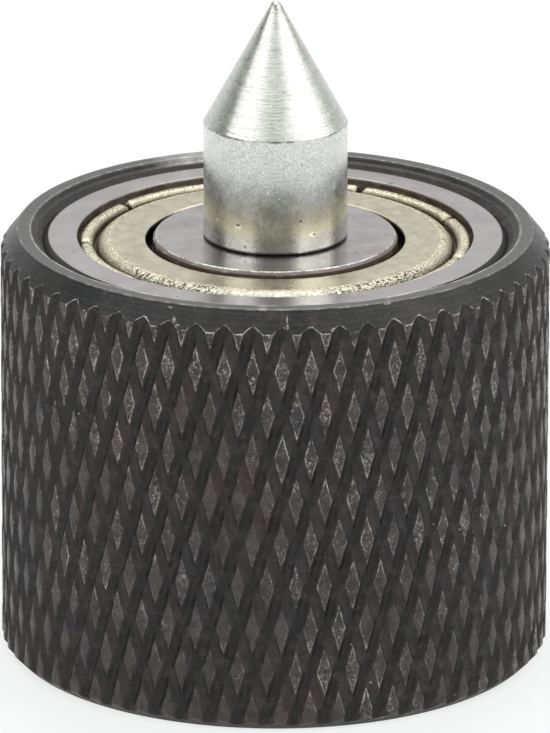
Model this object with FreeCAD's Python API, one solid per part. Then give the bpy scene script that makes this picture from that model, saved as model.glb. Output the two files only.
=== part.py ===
"""Screw-on live centre for a small lathe tailstock.

A knurled, blackened steel barrel screws onto the nose thread of the tailstock ram.
The mouth of the barrel holds a shielded deep-groove ball bearing, and a turned,
pointed spindle, pressed through the bearing's inner ring, spins with the work.

Units are millimetres. +Z is the axis of rotation, towards the point.
The origin is the centre of the barrel's flat rear face, the face that butts
against the shoulder of the tailstock ram.
"""
import FreeCAD, Part
import math
import os

os.makedirs("parts", exist_ok=True)
V = FreeCAD.Vector

# ---------------------------------------------------------------- dimensions
# barrel
BARREL_D = 26.0            # over the crests of the knurl
BARREL_H = 20.60           # rear face to front rim
REAR_CHAMFER = 0.50
RIM_OUTER_R = 12.20        # flat rim, outside edge
RIM_CHAMFER_H = 1.01       # height of the outside chamfer at the front
RIM_INNER_R = 11.57        # flat rim, inside edge
MOUTH_CHAMFER_H = 0.57
CAVITY_R = 8.80            # relief behind the bearing, clears the inner ring and the clip
CAVITY_FLOOR_Z = 11.50
THREAD_MINOR_R = 4.25      # 3/8-24 UNF internal thread, tapping-drill radius
THREAD_ENTRY_R = 5.00      # countersink at the mouth of the thread

# ball bearing, 6 x 22 x 7, two shields
BRG_BORE_R = 3.00
BRG_OD_R = 11.00
BRG_W = 7.00
BRG_FACE_Z = 20.27         # front face of both rings, just below the rim
RING_CHAMFER = 0.27        # outer ring corners
BORE_CHAMFER = 0.15        # inner ring bore corners
LAND_CHAMFER = 0.15        # inner ring outer edge
INNER_LAND_R = 5.78
OUTER_LAND_R = 8.62
RECESS_R = 9.37            # mouth of the shield recess in the outer ring
RECESS_LIP_H = 0.12        # thin lip that the shield snaps behind
RECESS_GROOVE_R = 9.66
RECESS_DEPTH = 0.98
BALL_D = 3.969             # 5/32 inch
BALL_COUNT = 7
PITCH_D = 14.40
BALL_PLAY = 0.02           # ball to raceway
RACE_R = 2.064             # 52 % of the ball diameter

# two-piece riveted ribbon cage
CAGE_IN_R = 6.35
CAGE_OUT_R = 8.05
CAGE_T = 0.34
POCKET_PLAY = 0.075
RIVET_R = 0.34
RIVET_HEAD_R = 0.62
RIVET_HEAD_H = 0.20
RIVET_PLAY = 0.01

# pressed steel shields
SHIELD_T = 0.20
SHIELD_IN_R = 6.13
SHIELD_FLAT_DROP = 0.19    # ring face to the shield's flat
SHIELD_BEAD_DROP = 0.24    # ring face to the top of the rolled bead
SHIELD_SLIT_W = 0.34
SHIELD_SLIT_DEG = tuple(22.8 + 40 * i for i in range(9))

# the point
HEAD_R = 3.40
POINT_ANGLE = 57.5         # included
CONE_BASE_Z = 25.88
TIP_R = 0.29
HEAD_EDGE = 0.08
TAIL_END_Z = 11.95
TAIL_CHAMFER = 0.30
CLIP_GROOVE_R = 2.50

# E-shaped retaining clip, for a 5 mm groove
CLIP_T = 0.70
CLIP_OD_R = 5.65
CLIP_RING_IN_R = 4.15
CLIP_SEAT_R = 2.51
CLIP_MOUTH = 4.20
CLIP_GAP = 0.01            # clip to the back of the inner ring

BRG_BACK_Z = BRG_FACE_Z - BRG_W
BRG_MID_Z = BRG_FACE_Z - BRG_W / 2
BALL_R = BALL_D / 2
PITCH_R = PITCH_D / 2


# ------------------------------------------------------------------- helpers
def pt(r, z):
    return V(r, 0, z)


def revolve_face(edges):
    """Turns a closed loop of edges in the XZ plane round the Z axis."""
    wire = Part.Wire(Part.__sortEdges__(edges))
    face = Part.Face(wire)
    solid = face.revolve(V(0, 0, 0), V(0, 0, 1), 360)
    if solid.ShapeType != "Solid":
        solid = solid.Solids[0]
    if solid.Volume < 0:
        solid.reverse()
    return solid


def polygon_edges(points):
    edges = []
    for i in range(len(points)):
        a, b = points[i], points[(i + 1) % len(points)]
        if (b - a).Length > 1e-9:
            edges.append(Part.LineSegment(a, b).toShape())
    return edges


def turned(points):
    return revolve_face(polygon_edges([pt(r, z) for r, z in points]))


def ring_solid(r_in, r_out, z_low, z_high):
    outer = Part.makeCylinder(r_out, z_high - z_low, V(0, 0, z_low))
    inner = Part.makeCylinder(r_in, z_high - z_low + 2, V(0, 0, z_low - 1))
    return outer.cut(inner)


def arc(a, mid, b):
    return Part.Arc(a, mid, b).toShape()


def strip_section(points, radii, thickness):
    """Closed outline of a bent strip: straight runs joined by tangent arcs.

    points are the corners of the strip's centre line as (r, z), radii the
    centre-line bend radii at the inner corners.
    """
    n = len(points)
    P = [V(x, 0, z) for x, z in points]
    segs = []               # ("line", a, b) or ("arc", centre, a, b, turn)
    start = P[0]
    for i in range(1, n - 1):
        u = (P[i] - P[i - 1]).normalize()
        w = (P[i + 1] - P[i]).normalize()
        cross = u.x * w.z - u.z * w.x
        ang = math.acos(max(-1, min(1, u.dot(w))))
        cut = radii[i - 1] * math.tan(ang / 2)
        a = P[i] - u * cut
        b = P[i] + w * cut
        segs.append(("line", start, a))
        side = 1 if cross > 0 else -1
        normal = V(-u.z, 0, u.x) * side
        segs.append(("arc", a + normal * radii[i - 1], a, b, side))
        start = b
    segs.append(("line", start, P[-1]))

    def offset(d):
        out = []
        for s in segs:
            if s[0] == "line":
                u = (s[2] - s[1]).normalize()
                nrm = V(-u.z, 0, u.x) * d
                if (s[2] - s[1]).Length > 1e-6:
                    out.append(Part.LineSegment(s[1] + nrm, s[2] + nrm).toShape())
            else:
                c, a, b, side = s[1], s[2], s[3], s[4]
                r = (a - c).Length
                k = (r - d * side) / r
                a2, b2 = c + (a - c) * k, c + (b - c) * k
                m = ((a2 - c) + (b2 - c))
                m = c + m.normalize() * (r * k)
                out.append(arc(a2, m, b2))
        return out

    top, low = offset(thickness / 2), offset(-thickness / 2)
    first = Part.LineSegment(top[0].Vertexes[0].Point, low[0].Vertexes[0].Point).toShape()
    last = Part.LineSegment(top[-1].Vertexes[-1].Point, low[-1].Vertexes[-1].Point).toShape()
    return top + low + [first, last]


def export(name, shape):
    solids = shape.Solids
    assert solids, name
    for s in solids:
        assert s.isValid() and s.isClosed() and s.Volume > 0, (name, s.Volume)
    out = solids[0] if len(solids) == 1 else Part.makeCompound(solids)
    out.exportStep("parts/%s.step" % name)
    b = out.BoundBox
    print("%-20s solids %d  volume %9.3f  z %.3f..%.3f  r %.3f" % (
        name, len(solids), sum(s.Volume for s in solids), b.ZMin, b.ZMax, b.XMax))


# -------------------------------------------------------------------- barrel
R = BARREL_D / 2
barrel = turned([
    (THREAD_ENTRY_R, 0),
    (R - REAR_CHAMFER, 0),
    (R, REAR_CHAMFER),
    (R, BARREL_H - RIM_CHAMFER_H),
    (RIM_OUTER_R, BARREL_H),
    (RIM_INNER_R, BARREL_H),
    (BRG_OD_R, BARREL_H - MOUTH_CHAMFER_H),
    (BRG_OD_R, BRG_BACK_Z),
    (CAVITY_R, BRG_BACK_Z),
    (CAVITY_R, CAVITY_FLOOR_Z),
    (THREAD_MINOR_R, CAVITY_FLOOR_Z),
    (THREAD_MINOR_R, THREAD_ENTRY_R - THREAD_MINOR_R),
])
export("barrel", barrel)

# ------------------------------------------------------- bearing, outer ring
half = BRG_W / 2
zc = BRG_MID_Z
race_c_out = PITCH_R + BALL_R + BALL_PLAY - RACE_R
dz = math.sqrt(RACE_R ** 2 - (OUTER_LAND_R - race_c_out) ** 2)
edges = polygon_edges([
    pt(OUTER_LAND_R, zc + dz),
    pt(OUTER_LAND_R, zc + half - RECESS_DEPTH),
    pt(RECESS_GROOVE_R, zc + half - RECESS_DEPTH),
    pt(RECESS_GROOVE_R, zc + half - RECESS_LIP_H - 0.10),
    pt(RECESS_R, zc + half - RECESS_LIP_H),
    pt(RECESS_R, zc + half - 0.04),
    pt(RECESS_R + 0.04, zc + half),
    pt(BRG_OD_R - RING_CHAMFER, zc + half),
    pt(BRG_OD_R, zc + half - RING_CHAMFER),
    pt(BRG_OD_R, zc - half + RING_CHAMFER),
    pt(BRG_OD_R - RING_CHAMFER, zc - half),
    pt(RECESS_R + 0.04, zc - half),
    pt(RECESS_R, zc - half + 0.04),
    pt(RECESS_R, zc - half + RECESS_LIP_H),
    pt(RECESS_GROOVE_R, zc - half + RECESS_LIP_H + 0.10),
    pt(RECESS_GROOVE_R, zc - half + RECESS_DEPTH),
    pt(OUTER_LAND_R, zc - half + RECESS_DEPTH),
    pt(OUTER_LAND_R, zc - dz),
])[:-1]
edges.append(arc(pt(OUTER_LAND_R, zc - dz), pt(race_c_out + RACE_R, zc), pt(OUTER_LAND_R, zc + dz)))
export("bearing_outer_ring", revolve_face(edges))

# ------------------------------------------------------- bearing, inner ring
race_c_in = PITCH_R - BALL_R - BALL_PLAY + RACE_R
dz = math.sqrt(RACE_R ** 2 - (race_c_in - INNER_LAND_R) ** 2)
edges = polygon_edges([
    pt(INNER_LAND_R, zc + dz),
    pt(INNER_LAND_R, zc + half - LAND_CHAMFER),
    pt(INNER_LAND_R - LAND_CHAMFER, zc + half),
    pt(BRG_BORE_R + BORE_CHAMFER, zc + half),
    pt(BRG_BORE_R, zc + half - BORE_CHAMFER),
    pt(BRG_BORE_R, zc - half + BORE_CHAMFER),
    pt(BRG_BORE_R + BORE_CHAMFER, zc - half),
    pt(INNER_LAND_R - LAND_CHAMFER, zc - half),
    pt(INNER_LAND_R, zc - half + LAND_CHAMFER),
    pt(INNER_LAND_R, zc - dz),
])[:-1]
edges.append(arc(pt(INNER_LAND_R, zc - dz), pt(race_c_in - RACE_R, zc), pt(INNER_LAND_R, zc + dz)))
export("bearing_inner_ring", revolve_face(edges))

# --------------------------------------------------------------------- balls
ball_centres = []
for i in range(BALL_COUNT):
    a = math.radians(90 + 360.0 * i / BALL_COUNT)
    c = V(PITCH_R * math.cos(a), PITCH_R * math.sin(a), zc)
    ball_centres.append(c)
    export("ball_%d" % (i + 1), Part.makeSphere(BALL_R, c))

# ---------------------------------------------------------------------- cage
rivet_centres = []
for i in range(BALL_COUNT):
    a = math.radians(90 + 360.0 * (i + 0.5) / BALL_COUNT)
    rivet_centres.append(V(PITCH_R * math.cos(a), PITCH_R * math.sin(a), zc))

annulus = ring_solid(CAGE_IN_R, CAGE_OUT_R, zc, zc + 4)
upper = ring_solid(CAGE_IN_R, CAGE_OUT_R, zc, zc + CAGE_T)
for c in ball_centres:
    shell = Part.makeSphere(BALL_R + POCKET_PLAY + CAGE_T, c).common(annulus)
    upper = upper.fuse(shell)
for c in ball_centres:
    upper = upper.cut(Part.makeSphere(BALL_R + POCKET_PLAY, c))
for c in rivet_centres:
    upper = upper.cut(Part.makeCylinder(RIVET_R + RIVET_PLAY, 2, V(c.x, c.y, zc - 1)))
upper = upper.removeSplitter()
lower = upper.mirror(V(0, 0, zc), V(0, 0, 1))
export("cage_upper_half", upper)
export("cage_lower_half", lower)

rivets = []
for c in rivet_centres:
    shank = Part.makeCylinder(RIVET_R, 2 * CAGE_T, V(c.x, c.y, zc - CAGE_T))
    head = Part.makeCone(RIVET_HEAD_R, RIVET_HEAD_R * 0.55, RIVET_HEAD_H, V(c.x, c.y, zc + CAGE_T))
    foot = Part.makeCone(RIVET_HEAD_R, RIVET_HEAD_R * 0.55, RIVET_HEAD_H, V(c.x, c.y, zc - CAGE_T), V(0, 0, -1))
    rivets.append(shank.fuse([head, foot]).removeSplitter())
export("cage_rivets", Part.makeCompound([s for r in rivets for s in r.Solids]))

# ------------------------------------------------------------------- shields
top = zc + half
mid = SHIELD_T / 2
flat_z = top - SHIELD_FLAT_DROP - mid
bead_z = top - SHIELD_BEAD_DROP - mid
section = strip_section(
    [
        (SHIELD_IN_R, flat_z),
        (8.22, flat_z),
        (8.41, top - 0.78),
        (8.64, top - 0.78),
        (8.72, bead_z),
        (9.14, bead_z),
        (9.26, top - 0.60),
        (9.58, top - 0.72),
    ],
    [0.50, 0.12, 0.12, 0.20, 0.20, 0.12],
    SHIELD_T,
)
front_shield = revolve_face(section)
for deg in SHIELD_SLIT_DEG:
    cutter = Part.makeBox(1.30, SHIELD_SLIT_W, 1.2, V(8.53, -SHIELD_SLIT_W / 2, top - 1.0))
    cutter.rotate(V(0, 0, 0), V(0, 0, 1), deg)
    front_shield = front_shield.cut(cutter)
rear_shield = front_shield.mirror(V(0, 0, zc), V(0, 0, 1))
export("front_shield", front_shield)
export("rear_shield", rear_shield)

# --------------------------------------------------------------------- point
half_angle = math.radians(POINT_ANGLE / 2)
apex_z = CONE_BASE_Z + HEAD_R / math.tan(half_angle)
tip_c = apex_z - TIP_R / math.sin(half_angle)
tan_r = TIP_R * math.cos(half_angle)
tan_z = tip_c + TIP_R * math.sin(half_angle)
groove_top = BRG_BACK_Z + 0.02
groove_low = BRG_BACK_Z - CLIP_GAP - CLIP_T - 0.02
edges = polygon_edges([
    pt(0, tip_c + TIP_R),
    pt(0, TAIL_END_Z),
    pt(BRG_BORE_R - TAIL_CHAMFER, TAIL_END_Z),
    pt(BRG_BORE_R, TAIL_END_Z + TAIL_CHAMFER),
    pt(BRG_BORE_R, groove_low),
    pt(CLIP_GROOVE_R, groove_low),
    pt(CLIP_GROOVE_R, groove_top),
    pt(BRG_BORE_R, groove_top),
    pt(BRG_BORE_R, BRG_FACE_Z),
    pt(HEAD_R - HEAD_EDGE, BRG_FACE_Z),
    pt(HEAD_R, BRG_FACE_Z + HEAD_EDGE),
    pt(HEAD_R, CONE_BASE_Z),
    pt(tan_r, tan_z),
])[:-1]
a0 = (math.pi / 2 + half_angle) / 2
edges.append(arc(
    pt(tan_r, tan_z),
    pt(TIP_R * math.cos(a0), tip_c + TIP_R * math.sin(a0)),
    pt(0, tip_c + TIP_R),
))
export("center_point", revolve_face(edges))

# ------------------------------------------------------------ retaining clip
clip_top = BRG_BACK_Z - CLIP_GAP
clip_low = clip_top - CLIP_T
clip = ring_solid(CLIP_RING_IN_R, CLIP_OD_R, clip_low, clip_top)
for deg, width in ((180, 2.0), (62, 1.7), (-62, 1.7)):
    lobe = Part.makeBox(2.2, width, CLIP_T, V(2.3, -width / 2, clip_low))
    lobe.rotate(V(0, 0, 0), V(0, 0, 1), deg)
    clip = clip.fuse(lobe)
clip = clip.cut(Part.makeCylinder(CLIP_SEAT_R, 3, V(0, 0, clip_low - 1)))
clip = clip.cut(Part.makeBox(8, CLIP_MOUTH, 3, V(0, -CLIP_MOUTH / 2, clip_low - 1)))
clip = clip.removeSplitter()
try:
    vertical = [e for e in clip.Edges if len(e.Vertexes) == 2
                and abs(e.Vertexes[0].X - e.Vertexes[1].X) < 1e-6
                and abs(e.Vertexes[0].Y - e.Vertexes[1].Y) < 1e-6
                and math.hypot(e.Vertexes[0].X, e.Vertexes[0].Y) > CLIP_RING_IN_R - 0.2]
    rounded = clip.makeFillet(0.35, vertical)
    if rounded.isValid() and len(rounded.Solids) == 1:
        clip = rounded
except Exception as err:
    print("clip corners left sharp:", err)
export("retaining_clip", clip)
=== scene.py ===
import math

import bmesh
import bpy
import numpy as np
from mathutils import Matrix, Vector, noise


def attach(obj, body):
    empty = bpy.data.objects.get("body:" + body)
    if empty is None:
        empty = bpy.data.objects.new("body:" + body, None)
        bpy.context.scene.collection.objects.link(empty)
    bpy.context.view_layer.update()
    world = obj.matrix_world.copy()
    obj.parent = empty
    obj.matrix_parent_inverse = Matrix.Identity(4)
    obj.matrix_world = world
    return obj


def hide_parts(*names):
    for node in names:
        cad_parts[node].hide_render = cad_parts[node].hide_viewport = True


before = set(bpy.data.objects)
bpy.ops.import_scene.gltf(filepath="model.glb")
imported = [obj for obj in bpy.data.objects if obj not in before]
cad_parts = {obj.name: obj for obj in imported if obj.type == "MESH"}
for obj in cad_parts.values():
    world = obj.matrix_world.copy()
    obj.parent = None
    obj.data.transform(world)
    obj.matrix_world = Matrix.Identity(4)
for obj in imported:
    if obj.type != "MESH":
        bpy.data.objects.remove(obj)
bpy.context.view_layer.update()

MM = 0.001
TAU = 2 * math.pi

# ------------------------------------------------------------------ lengths, mm
R_CREST = 13.0
H = 20.60
REAR_CHAMFER = 0.50
RIM_OUT = 12.20
RIM_IN = 11.57
RIM_CH = 1.01
MOUTH_CH = 0.57
SEAT_R = 11.0
BRG_BACK = 13.27
BRG_FACE = 20.27
ZC = 16.77
CAVITY_R = 8.80
CAVITY_Z = 11.50
MINOR_R = 4.25
MAJOR_R = 4.79
PITCH = 25.4 / 24
ENTRY_R = 5.00

KNURL_N = 60
KNURL_V = 4.2385
KNURL_ROW = 19.868
KNURL_TH = -1.5
KNURL_D = 0.25


# ------------------------------------------------------------------ mesh helpers
def polar(r, th, z):
    """th is measured from the front (-Y) towards +X."""
    return (r * math.sin(th), -r * math.cos(th), z)


def n3(x, y, z, s=1.0, o=0.0):
    return noise.noise(Vector((x * s + o, y * s + 1.7 * o, z * s - o)))


def rounded(points, n=3, hold=2.4, tags=None):
    """Closed (r, z, radius) outline with each corner turned into a small arc and a
    holding loop on either side, so that flats stay flat under smooth shading."""
    out = []
    m = len(points)
    for i in range(m):
        p = Vector(points[i][:2])
        rad = points[i][2] if len(points[i]) > 2 else 0.03
        a = Vector(points[i - 1][:2]) - p
        b = Vector(points[(i + 1) % m][:2]) - p
        la, lb = a.length, b.length
        if rad <= 0 or la < 1e-6 or lb < 1e-6:
            out.append((p.x, p.y))
            continue
        start = len(out)
        a, b = a / la, b / lb
        ang = a.angle(b)
        if ang > math.pi - 0.02:
            out.append((p.x, p.y))
            continue
        cut = min(rad / math.tan(ang / 2), 0.42 * la, 0.42 * lb)
        rr = cut * math.tan(ang / 2)
        c = p + (a + b).normalized() * (rr / math.sin(ang / 2))
        s, e = p + a * cut, p + b * cut
        if cut * hold < 0.45 * la and cut > 0.004:
            q = p + a * cut * hold
            out.append((q.x, q.y))
        vs, ve = s - c, e - c
        a0 = math.atan2(vs.y, vs.x)
        d = math.atan2(ve.y, ve.x) - a0
        while d > math.pi:
            d -= TAU
        while d < -math.pi:
            d += TAU
        for k in range(n + 1):
            t = a0 + d * k / n
            out.append((c.x + rr * math.cos(t), c.y + rr * math.sin(t)))
        if tags is not None:
            first = start + (1 if cut * hold < 0.45 * la and cut > 0.004 else 0)
            tags.update({k: i for k in range(first, first + n + 1)})
        if cut * hold < 0.45 * lb and cut > 0.004:
            q = p + b * cut * hold
            out.append((q.x, q.y))
    return out


def tidy(me, angle=32):
    bm = bmesh.new()
    bm.from_mesh(me)
    bmesh.ops.remove_doubles(bm, verts=bm.verts, dist=1e-9)
    bmesh.ops.recalc_face_normals(bm, faces=bm.faces)
    bm.to_mesh(me)
    bm.free()
    me.polygons.foreach_set("use_smooth", [True] * len(me.polygons))
    me.set_sharp_from_angle(angle=math.radians(angle))
    me.update()


def add_object(name, verts, faces, material, angle=32, attrs=None):
    me = bpy.data.meshes.new(name)
    me.from_pydata([(x * MM, y * MM, z * MM) for x, y, z in verts], [], faces)
    tidy(me, angle)
    ob = bpy.data.objects.new(name, me)
    bpy.context.scene.collection.objects.link(ob)
    me.materials.append(material)
    return ob


def lathe(name, outline, segs, material, angle=32, wobble=None):
    """Turns a closed outline [(r, z), ...] round Z; a point with r = 0 is a pole."""
    verts, rings = [], []
    for r, z in outline:
        if r < 1e-6:
            rings.append([len(verts)] * segs)
            verts.append((0, 0, z))
        else:
            ring = []
            for k in range(segs):
                th = TAU * k / segs
                dr, dz = wobble(r, th, z) if wobble else (0, 0)
                ring.append(len(verts))
                verts.append(polar(r + dr, th, z + dz))
            rings.append(ring)
    faces = []
    m = len(rings)
    for i in range(m):
        A, B = rings[i], rings[(i + 1) % m]
        if A[0] == A[1] and B[0] == B[1]:
            continue
        for k in range(segs):
            q = [A[k], A[(k + 1) % segs], B[(k + 1) % segs], B[k]]
            f = []
            for v in q:
                if v not in f:
                    f.append(v)
            if len(f) > 2:
                faces.append(f)
    return add_object(name, verts, faces, material, angle)


# ------------------------------------------------------------------ node helpers
class Mat:
    def __init__(self, name):
        self.m = bpy.data.materials.new(name)
        self.m.use_nodes = True
        self.nt = self.m.node_tree
        self.nt.nodes.clear()
        self.out = self.nt.nodes.new("ShaderNodeOutputMaterial")
        self.b = self.nt.nodes.new("ShaderNodeBsdfPrincipled")
        self.nt.links.new(self.b.outputs[0], self.out.inputs[0])
        tc = self.nt.nodes.new("ShaderNodeTexCoord")
        mp = self.nt.nodes.new("ShaderNodeVectorMath")
        mp.operation = "SCALE"
        mp.inputs["Scale"].default_value = 1000.0     # millimetres from here on
        self.link(tc.outputs["Object"], mp.inputs[0])
        self.P = mp.outputs[0]
        sep = self.nt.nodes.new("ShaderNodeSeparateXYZ")
        self.link(self.P, sep.inputs[0])
        self.x, self.y, self.z = sep.outputs
        self.r = self.math("SQRT", self.math("ADD", self.math("MULTIPLY", self.x, self.x),
                                             self.math("MULTIPLY", self.y, self.y)))

    def link(self, a, b):
        self.nt.links.new(a, b)

    def put(self, value, socket):
        if isinstance(value, (int, float)):
            socket.default_value = value
        elif isinstance(value, tuple):
            socket.default_value = value if len(value) == len(socket.default_value) else value + (1.0,)
        else:
            self.link(value, socket)

    def math(self, op, a, b=None, c=None, clamp=False):
        n = self.nt.nodes.new("ShaderNodeMath")
        n.operation = op
        n.use_clamp = clamp
        self.put(a, n.inputs[0])
        if b is not None:
            self.put(b, n.inputs[1])
        if c is not None:
            self.put(c, n.inputs[2])
        return n.outputs[0]

    def combine(self, x, y, z):
        n = self.nt.nodes.new("ShaderNodeCombineXYZ")
        for v, s in zip((x, y, z), n.inputs):
            self.put(v, s)
        return n.outputs[0]

    def scaled(self, sx, sy, sz):
        return self.combine(self.math("MULTIPLY", self.x, sx), self.math("MULTIPLY", self.y, sy),
                            self.math("MULTIPLY", self.z, sz))

    def noise(self, vec=None, scale=1.0, detail=3.0, rough=0.55, dims="3D", w=None, dist=0.0):
        n = self.nt.nodes.new("ShaderNodeTexNoise")
        n.noise_dimensions = dims
        if dims != "1D":
            self.put(self.P if vec is None else vec, n.inputs["Vector"])
        if w is not None:
            self.put(w, n.inputs["W"])
        n.inputs["Scale"].default_value = scale
        n.inputs["Detail"].default_value = detail
        n.inputs["Roughness"].default_value = rough
        n.inputs["Distortion"].default_value = dist
        return n.outputs["Fac"]

    def voronoi(self, vec=None, scale=1.0, feature="F1", rand=1.0, out="Distance"):
        n = self.nt.nodes.new("ShaderNodeTexVoronoi")
        n.feature = feature
        self.put(self.P if vec is None else vec, n.inputs["Vector"])
        n.inputs["Scale"].default_value = scale
        n.inputs["Randomness"].default_value = rand
        return n.outputs[out]

    def ramp(self, fac, lo, hi, a=0.0, b=1.0):
        n = self.nt.nodes.new("ShaderNodeMapRange")
        n.clamp = True
        self.put(fac, n.inputs["Value"])
        n.inputs["From Min"].default_value = lo
        n.inputs["From Max"].default_value = hi
        n.inputs["To Min"].default_value = a
        n.inputs["To Max"].default_value = b
        return n.outputs[0]

    def mix(self, fac, a, b):
        n = self.nt.nodes.new("ShaderNodeMix")
        n.data_type = "RGBA"
        self.put(fac, n.inputs[0])
        self.put(a, n.inputs[6])
        self.put(b, n.inputs[7])
        return n.outputs[2]

    def attr(self, name):
        n = self.nt.nodes.new("ShaderNodeAttribute")
        n.attribute_name = name
        return n.outputs["Fac"]

    def bump(self, height, strength, distance_mm, normal=None):
        n = self.nt.nodes.new("ShaderNodeBump")
        n.inputs["Strength"].default_value = strength
        n.inputs["Distance"].default_value = distance_mm * MM
        self.put(height, n.inputs["Height"])
        if normal is not None:
            self.link(normal, n.inputs["Normal"])
        return n.outputs[0]

    def finish(self, color, rough, metallic=1.0, normal=None, ior=None, spec=None):
        self.put(color, self.b.inputs["Base Color"])
        self.put(rough, self.b.inputs["Roughness"])
        self.put(metallic, self.b.inputs["Metallic"])
        if normal is not None:
            self.link(normal, self.b.inputs["Normal"])
        if ior is not None:
            self.b.inputs["IOR"].default_value = ior
        if spec is not None:
            self.b.inputs["Specular IOR Level"].default_value = spec
        return self.m


# ------------------------------------------------------------------ materials
def black_oxide():
    k = Mat("black_oxide_steel")
    wear, flat, groove_shade = k.attr("wear"), k.attr("flat"), k.attr("groove_shade")
    # the turned surfaces: front chamfer, rim, mouth
    ct = k.math("MULTIPLY_ADD", k.z, -(R_CREST - RIM_OUT) / RIM_CH, R_CREST + (H - RIM_CH) * (R_CREST - RIM_OUT) / RIM_CH)
    on_chamfer = k.math("MULTIPLY", k.ramp(k.math("ABSOLUTE", k.math("SUBTRACT", k.r, ct)), 0.05, 0.02), k.ramp(k.z, 19.50, 19.62))
    turned = k.math("MAXIMUM", on_chamfer, k.ramp(k.z, 20.30, 20.40))
    # the finish is browner, greener or thinner in patches
    brown = k.noise(scale=0.30, detail=3)
    green = k.noise(vec=k.scaled(0.7, 0.7, 0.4), scale=1.0, detail=3)
    olive = k.noise(scale=0.62, detail=4, rough=0.6)
    fine = k.noise(scale=3.2, detail=6, rough=0.7)
    base = k.mix(k.ramp(brown, 0.42, 0.60), (0.0125, 0.0110, 0.0108), (0.0285, 0.0172, 0.0148))
    base = k.mix(k.ramp(green, 0.52, 0.64, 0, 0.85), base, (0.0095, 0.0150, 0.0130))
    base = k.mix(k.ramp(k.noise(scale=0.38, detail=3), 0.56, 0.66, 0, 0.8), base, (0.0130, 0.0130, 0.0195))
    base = k.mix(k.ramp(olive, 0.55, 0.70, 0, 0.60), base, (0.0520, 0.0450, 0.0290))
    base = k.mix(k.ramp(fine, 0.45, 0.75, 0, 0.50), base, (0.046, 0.037, 0.034))
    rub = k.math("MULTIPLY", flat, k.ramp(k.noise(scale=0.9, detail=5, rough=0.7), 0.36, 0.64, 0.05, 0.8))
    base = k.mix(rub, base, (0.060, 0.051, 0.048))
    # painted shade in the knurl grooves, darkest in the grooves of one hand
    base = k.mix(k.math("MULTIPLY", groove_shade, 0.95), base, (0.0034, 0.0024, 0.0021))
    grime = k.noise(scale=1.9, detail=6, rough=0.75)
    base = k.mix(k.ramp(grime, 0.50, 0.68, 0, 0.55), base, (0.062, 0.050, 0.046))
    base = k.mix(k.ramp(grime, 0.48, 0.32, 0, 0.65), base, (0.0040, 0.0035, 0.0035))
    # turning marks, round the axis
    w = k.math("ADD", k.r, k.math("MULTIPLY", k.z, 1.3))
    lines = k.noise(dims="1D", w=w, scale=14.0, detail=4, rough=0.75)
    broad = k.noise(scale=0.5, detail=5, rough=0.7)
    skin = k.mix(k.ramp(broad, 0.40, 0.64), (0.0155, 0.0170, 0.0165), (0.034, 0.032, 0.0305))
    skin = k.mix(k.ramp(k.z, 20.56, 20.592, 0, 0.9), skin, (0.105, 0.105, 0.100))
    # painted sheen: a pale patch on the turned faces at the back, standing in for light on the rim there
    back_rim_sheen = k.math("ADD", k.x, k.math("MULTIPLY", k.noise(scale=0.7, detail=3), 3.0))
    back_rim_sheen = k.math("MULTIPLY", k.math("MULTIPLY", k.ramp(back_rim_sheen, -4.6, -2.8), k.ramp(back_rim_sheen, 5.0, 3.8)), k.ramp(k.y, 7.5, 9.5))
    skin = k.mix(k.math("MULTIPLY", back_rim_sheen, k.ramp(k.noise(scale=2.2, detail=5, rough=0.8), 0.35, 0.60, 0.45, 0.95)), skin, (0.48, 0.475, 0.46))
    ruddy = k.math("MULTIPLY", k.ramp(k.noise(scale=0.33, detail=4, rough=0.6), 0.58, 0.66), k.ramp(k.noise(scale=2.2, detail=4, rough=0.7), 0.40, 0.62))
    skin = k.mix(k.math("MULTIPLY", ruddy, 0.6), skin, (0.085, 0.060, 0.055))
    skin = k.mix(k.ramp(lines, 0.52, 0.72, 0, 0.26), skin, (0.085, 0.088, 0.084))
    skin = k.mix(k.ramp(lines, 0.44, 0.30, 0, 0.35), skin, (0.012, 0.012, 0.012))
    # painted highlight along the mouth's edge of the rim, strongest at the front
    mouth_edge_highlight = k.math("MULTIPLY", k.math("MULTIPLY", k.ramp(k.r, 11.68, 11.62), k.ramp(k.z, 20.50, 20.56)), k.ramp(k.y, 2.0, -7.0, 0.12, 1.0))
    skin = k.mix(k.math("MULTIPLY", mouth_edge_highlight, k.ramp(k.noise(scale=1.3, detail=5, rough=0.75), 0.40, 0.54, 0.15, 0.85)), skin, (0.50, 0.50, 0.48))
    base = k.mix(turned, base, skin)
    # wear is heavier in some areas, and towards the front
    area = k.noise(scale=0.21, detail=3, rough=0.6)
    high = k.ramp(k.z, 3.0, 15.0, -0.10, 0.05)
    area = k.ramp(k.math("ADD", area, high), 0.40, 0.60, 0.12, 1.0)
    area = k.math("MAXIMUM", area, k.math("MULTIPLY", k.ramp(k.z, 19.2, 19.5), 0.95))
    # curly scratches, on the flats and here and there on the turned faces
    ridge = k.math("ABSOLUTE", k.math("SUBTRACT", k.noise(scale=2.6, detail=4, rough=0.75, dist=0.5), 0.5))
    scratch = k.math("MULTIPLY", k.ramp(ridge, 0.034, 0.012), k.ramp(k.noise(scale=1.1, detail=2), 0.47, 0.57))
    grains = k.math("MULTIPLY", k.ramp(k.noise(scale=6.0, detail=3, rough=0.75), 0.585, 0.66), k.ramp(k.noise(scale=0.9, detail=3), 0.46, 0.56, 0.25, 1.0))
    scratch = k.math("MAXIMUM", k.math("MULTIPLY", scratch, k.ramp(k.noise(scale=7.0, detail=2), 0.44, 0.56)), grains)
    scratch = k.math("MULTIPLY", scratch, k.math("MAXIMUM", k.math("MULTIPLY", flat, area), k.math("MULTIPLY", turned, 0.07)))
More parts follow.
